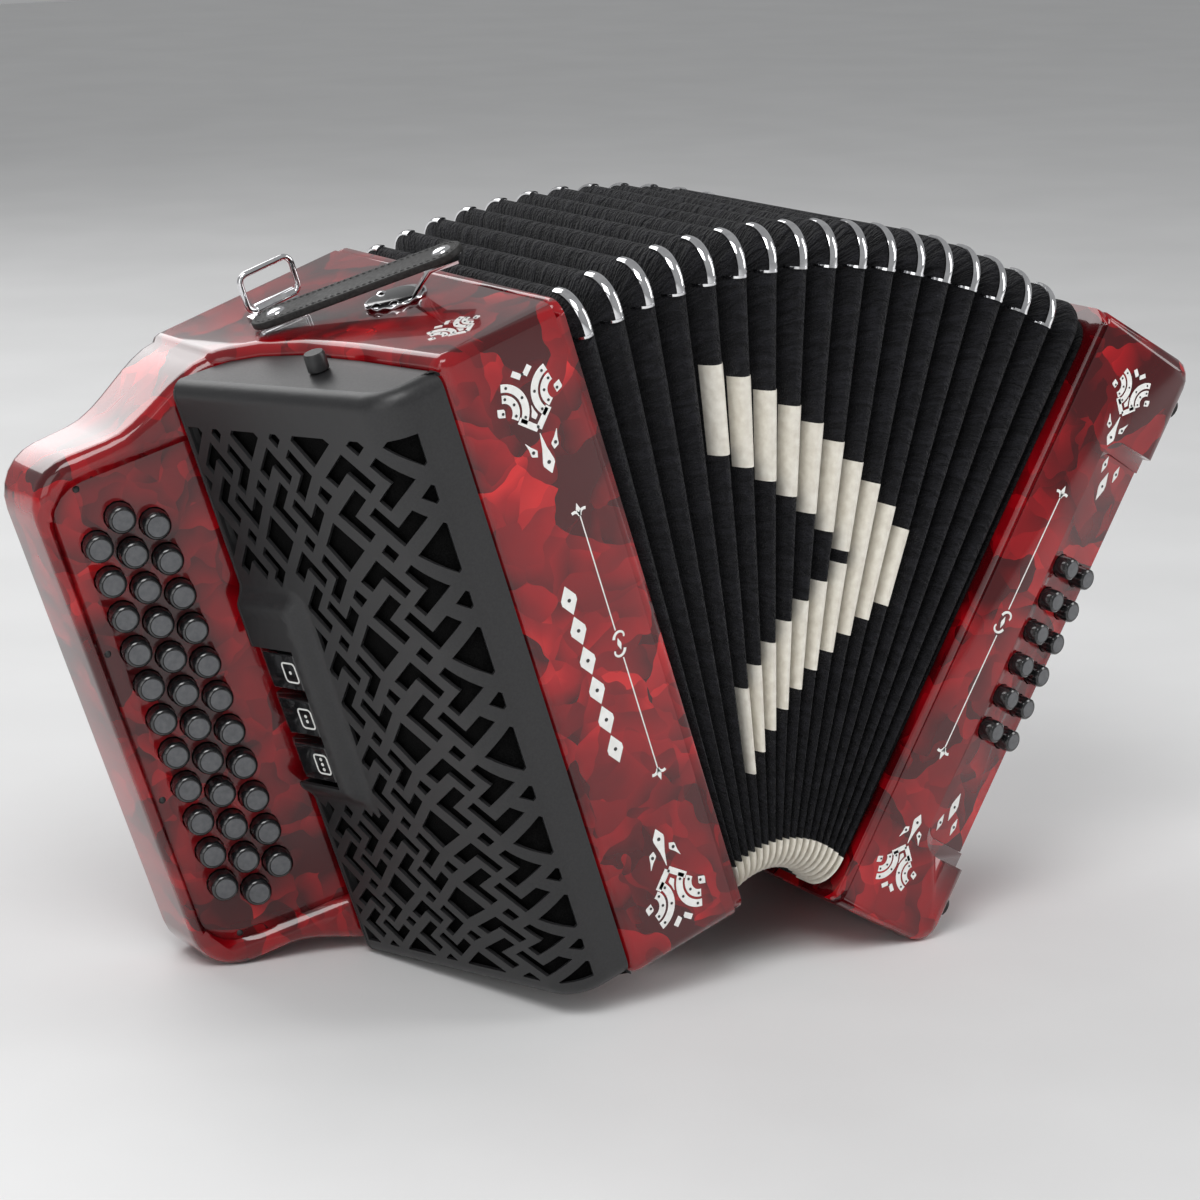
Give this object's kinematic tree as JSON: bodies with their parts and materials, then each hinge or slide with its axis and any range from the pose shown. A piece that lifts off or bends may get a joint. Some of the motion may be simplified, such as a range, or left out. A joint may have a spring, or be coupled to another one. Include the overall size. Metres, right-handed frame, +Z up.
{
  "type": "button accordion",
  "caption": "Diatonic button accordion with a slanted pierced grille, standing with its bellows fanned open between red pearl end blocks.",
  "frame": {"origin": "bottom centre of the bounding box, on the surface that the instrument stands on", "axes": "+X from the treble block towards the bass block, -Y to the listener's side, +Z up"},
  "size_m": [0.5604, 0.2104, 0.3623],
  "materials": {
    "red_celluloid": "polished red pearl celluloid over wood",
    "black_shell": "satin black lacquer",
    "black_gloss": "polished black",
    "chrome": "bright plating",
    "leather": "black grained leather",
    "wood": "bare spruce",
    "alloy": "plain sheet",
    "bellows_cloth": "black bellows cloth on card",
    "rubber": "moulded rubber"
  },
  "bodies": {
    "treble": {"treble_case": "red_celluloid", "treble_bellows_frame": "red_celluloid", "treble_soundboard": "alloy", "treble_reed_blocks": "wood", "treble_button_board": "red_celluloid", "treble_grille": "black_shell", "grille_cloth": "bellows_cloth", "grille_knob": "black_shell", "strap_bracket": "chrome", "bellows_strap": "leather", "bail_base": "chrome"},
    "bass": {"bass_case": "red_celluloid", "bass_bellows_frame": "red_celluloid", "bass_soundboard": "alloy", "bass_reed_block": "wood", "bass_cover": "red_celluloid", "bass_button_board": "red_celluloid", "hand_strap": "leather", "strap_adjuster_housing": "black_shell", "bass_foot_1": "rubber", "bass_foot_2": "rubber", "bass_foot_3": "rubber", "bass_foot_4": "rubber"},
    "bail": {"strap_bail": "chrome"},
    "adjuster_wheel": {"strap_adjuster_wheel": "chrome"},
    "air_valve_button": {"air_button": "black_gloss"},
    "fold_1": {"bellows_fold_1": "bellows_cloth"},
    "fold_2": {"bellows_fold_2": "bellows_cloth"},
    "fold_3": {"bellows_fold_3": "bellows_cloth"},
    "fold_4": {"bellows_fold_4": "bellows_cloth"},
    "fold_5": {"bellows_fold_5": "bellows_cloth"},
    "fold_6": {"bellows_fold_6": "bellows_cloth"},
    "register_1": {"register_switch_1": "black_gloss"},
    "register_2": {"register_switch_2": "black_gloss"},
    "register_3": {"register_switch_3": "black_gloss"},
    "treble_keys_01": {"treble_buttons_01": "black_gloss"},
    "treble_keys_02": {"treble_buttons_02": "black_gloss"},
    "treble_keys_03": {"treble_buttons_03": "black_gloss"},
    "treble_keys_04": {"treble_buttons_04": "black_gloss"},
    "treble_keys_05": {"treble_buttons_05": "black_gloss"},
    "treble_keys_06": {"treble_buttons_06": "black_gloss"},
    "treble_keys_07": {"treble_buttons_07": "black_gloss"},
    "treble_keys_08": {"treble_buttons_08": "black_gloss"},
    "treble_keys_09": {"treble_buttons_09": "black_gloss"},
    "treble_keys_10": {"treble_buttons_10": "black_gloss"},
    "treble_keys_11": {"treble_buttons_11": "black_gloss"},
    "treble_keys_12": {"treble_buttons_12": "black_gloss"},
    "bass_key_01": {"bass_button_01": "black_gloss"},
    "bass_key_02": {"bass_button_02": "black_gloss"},
    "bass_key_03": {"bass_button_03": "black_gloss"},
    "bass_key_04": {"bass_button_04": "black_gloss"},
    "bass_key_05": {"bass_button_05": "black_gloss"},
    "bass_key_06": {"bass_button_06": "black_gloss"},
    "bass_key_07": {"bass_button_07": "black_gloss"},
    "bass_key_08": {"bass_button_08": "black_gloss"},
    "bass_key_09": {"bass_button_09": "black_gloss"},
    "bass_key_10": {"bass_button_10": "black_gloss"},
    "bass_key_11": {"bass_button_11": "black_gloss"},
    "bass_key_12": {"bass_button_12": "black_gloss"}
  },
  "joints": [
    {"name": "bellows_fan", "type": "hinge", "parent": "treble", "child": "bass", "pos_m": [0.0304, 0.0022, 0.0461], "axis": [0, 1, 0], "range_deg": [-48.7, 10]},
    {"name": "fold_1_follow", "type": "hinge", "parent": "treble", "child": "fold_1", "pos_m": [0.0304, 0.0022, 0.0461], "axis": [0, 1, 0], "range_deg": [-7.49, 1.93]},
    {"name": "fold_2_follow", "type": "hinge", "parent": "treble", "child": "fold_2", "pos_m": [0.0304, 0.0022, 0.0461], "axis": [0, 1, 0], "range_deg": [-14.47, 3.36]},
    {"name": "fold_3_follow", "type": "hinge", "parent": "treble", "child": "fold_3", "pos_m": [0.0304, 0.0022, 0.0461], "axis": [0, 1, 0], "range_deg": [-21.46, 4.79]},
    {"name": "fold_4_follow", "type": "hinge", "parent": "treble", "child": "fold_4", "pos_m": [0.0304, 0.0022, 0.0461], "axis": [0, 1, 0], "range_deg": [-28.44, 6.21]},
    {"name": "fold_5_follow", "type": "hinge", "parent": "treble", "child": "fold_5", "pos_m": [0.0304, 0.0022, 0.0461], "axis": [0, 1, 0], "range_deg": [-35.43, 7.64]},
    {"name": "fold_6_follow", "type": "hinge", "parent": "treble", "child": "fold_6", "pos_m": [0.0304, 0.0022, 0.0461], "axis": [0, 1, 0], "range_deg": [-42.41, 9.07]},
    {"name": "adjuster_turn", "type": "hinge", "parent": "bass", "child": "adjuster_wheel", "pos_m": [0.27209, 0.0242, 0.23964], "axis": [0.512, 0, 0.859], "continuous": true},
    {"name": "air_button_press", "type": "slide", "parent": "bass", "child": "air_valve_button", "axis": [-0.859, 0, 0.512], "range_m": [0, 0.0045], "stiffness_N_per_m": 250, "springref_m": -0.002},
    {"name": "bail_swing", "type": "hinge", "parent": "treble", "child": "bail", "pos_m": [-0.15887, 0.0527, 0.32584], "axis": [0.9505, 0, 0.3107], "range_deg": [-84, 20]},
    {"name": "flip_register_1", "type": "hinge", "parent": "treble", "child": "register_1", "pos_m": [-0.17235, 0.02732, 0.15658], "axis": [-0.3107, 0, 0.9505], "range_deg": [-5, 5]},
    {"name": "flip_register_2", "type": "hinge", "parent": "treble", "child": "register_2", "pos_m": [-0.16458, 0.02732, 0.13281], "axis": [-0.3107, 0, 0.9505], "range_deg": [-5, 5]},
    {"name": "flip_register_3", "type": "hinge", "parent": "treble", "child": "register_3", "pos_m": [-0.15681, 0.02732, 0.10905], "axis": [-0.3107, 0, 0.9505], "range_deg": [-5, 5]},
    {"name": "press_bass_01", "type": "slide", "parent": "bass", "child": "bass_key_01", "axis": [-0.1909, 0.975, 0.1138], "range_m": [0, 0.003], "stiffness_N_per_m": 150, "springref_m": -0.002},
    {"name": "press_bass_02", "type": "slide", "parent": "bass", "child": "bass_key_02", "axis": [-0.1909, 0.975, 0.1138], "range_m": [0, 0.003], "stiffness_N_per_m": 150, "springref_m": -0.002},
    {"name": "press_bass_03", "type": "slide", "parent": "bass", "child": "bass_key_03", "axis": [-0.1909, 0.975, 0.1138], "range_m": [0, 0.003], "stiffness_N_per_m": 150, "springref_m": -0.002},
    {"name": "press_bass_04", "type": "slide", "parent": "bass", "child": "bass_key_04", "axis": [-0.1909, 0.975, 0.1138], "range_m": [0, 0.003], "stiffness_N_per_m": 150, "springref_m": -0.002},
    {"name": "press_bass_05", "type": "slide", "parent": "bass", "child": "bass_key_05", "axis": [-0.1909, 0.975, 0.1138], "range_m": [0, 0.003], "stiffness_N_per_m": 150, "springref_m": -0.002},
    {"name": "press_bass_06", "type": "slide", "parent": "bass", "child": "bass_key_06", "axis": [-0.1909, 0.975, 0.1138], "range_m": [0, 0.003], "stiffness_N_per_m": 150, "springref_m": -0.002},
    {"name": "press_bass_07", "type": "slide", "parent": "bass", "child": "bass_key_07", "axis": [-0.1909, 0.975, 0.1138], "range_m": [0, 0.003], "stiffness_N_per_m": 150, "springref_m": -0.002},
    {"name": "press_bass_08", "type": "slide", "parent": "bass", "child": "bass_key_08", "axis": [-0.1909, 0.975, 0.1138], "range_m": [0, 0.003], "stiffness_N_per_m": 150, "springref_m": -0.002},
    {"name": "press_bass_09", "type": "slide", "parent": "bass", "child": "bass_key_09", "axis": [-0.1909, 0.975, 0.1138], "range_m": [0, 0.003], "stiffness_N_per_m": 150, "springref_m": -0.002},
    {"name": "press_bass_10", "type": "slide", "parent": "bass", "child": "bass_key_10", "axis": [-0.1909, 0.975, 0.1138], "range_m": [0, 0.003], "stiffness_N_per_m": 150, "springref_m": -0.002},
    {"name": "press_bass_11", "type": "slide", "parent": "bass", "child": "bass_key_11", "axis": [-0.1909, 0.975, 0.1138], "range_m": [0, 0.003], "stiffness_N_per_m": 150, "springref_m": -0.002},
    {"name": "press_bass_12", "type": "slide", "parent": "bass", "child": "bass_key_12", "axis": [-0.1909, 0.975, 0.1138], "range_m": [0, 0.003], "stiffness_N_per_m": 150, "springref_m": -0.002},
    {"name": "press_treble_01", "type": "slide", "parent": "treble", "child": "treble_keys_01", "axis": [0.2113, 0.975, 0.0691], "range_m": [0, 0.0035], "stiffness_N_per_m": 250, "springref_m": -0.002},
    {"name": "press_treble_02", "type": "slide", "parent": "treble", "child": "treble_keys_02", "axis": [0.2113, 0.975, 0.0691], "range_m": [0, 0.0035], "stiffness_N_per_m": 250, "springref_m": -0.002},
    {"name": "press_treble_03", "type": "slide", "parent": "treble", "child": "treble_keys_03", "axis": [0.2113, 0.975, 0.0691], "range_m": [0, 0.0035], "stiffness_N_per_m": 250, "springref_m": -0.002},
    {"name": "press_treble_04", "type": "slide", "parent": "treble", "child": "treble_keys_04", "axis": [0.2113, 0.975, 0.0691], "range_m": [0, 0.0035], "stiffness_N_per_m": 250, "springref_m": -0.002},
    {"name": "press_treble_05", "type": "slide", "parent": "treble", "child": "treble_keys_05", "axis": [0.2113, 0.975, 0.0691], "range_m": [0, 0.0035], "stiffness_N_per_m": 250, "springref_m": -0.002},
    {"name": "press_treble_06", "type": "slide", "parent": "treble", "child": "treble_keys_06", "axis": [0.2113, 0.975, 0.0691], "range_m": [0, 0.0035], "stiffness_N_per_m": 250, "springref_m": -0.002},
    {"name": "press_treble_07", "type": "slide", "parent": "treble", "child": "treble_keys_07", "axis": [0.2113, 0.975, 0.0691], "range_m": [0, 0.0035], "stiffness_N_per_m": 250, "springref_m": -0.002},
    {"name": "press_treble_08", "type": "slide", "parent": "treble", "child": "treble_keys_08", "axis": [0.2113, 0.975, 0.0691], "range_m": [0, 0.0035], "stiffness_N_per_m": 250, "springref_m": -0.002},
    {"name": "press_treble_09", "type": "slide", "parent": "treble", "child": "treble_keys_09", "axis": [0.2113, 0.975, 0.0691], "range_m": [0, 0.0035], "stiffness_N_per_m": 250, "springref_m": -0.002},
    {"name": "press_treble_10", "type": "slide", "parent": "treble", "child": "treble_keys_10", "axis": [0.2113, 0.975, 0.0691], "range_m": [0, 0.0035], "stiffness_N_per_m": 250, "springref_m": -0.002},
    {"name": "press_treble_11", "type": "slide", "parent": "treble", "child": "treble_keys_11", "axis": [0.2113, 0.975, 0.0691], "range_m": [0, 0.0035], "stiffness_N_per_m": 250, "springref_m": -0.002},
    {"name": "press_treble_12", "type": "slide", "parent": "treble", "child": "treble_keys_12", "axis": [0.2113, 0.975, 0.0691], "range_m": [0, 0.0035], "stiffness_N_per_m": 250, "springref_m": -0.002}
  ],
  "couplings": [
    {"joint": "fold_1_follow", "follows": "bellows_fan", "ratio": 0.14286},
    {"joint": "fold_2_follow", "follows": "bellows_fan", "ratio": 0.28571},
    {"joint": "fold_3_follow", "follows": "bellows_fan", "ratio": 0.42857},
    {"joint": "fold_4_follow", "follows": "bellows_fan", "ratio": 0.57143},
    {"joint": "fold_5_follow", "follows": "bellows_fan", "ratio": 0.71429},
    {"joint": "fold_6_follow", "follows": "bellows_fan", "ratio": 0.85714}
  ]
}
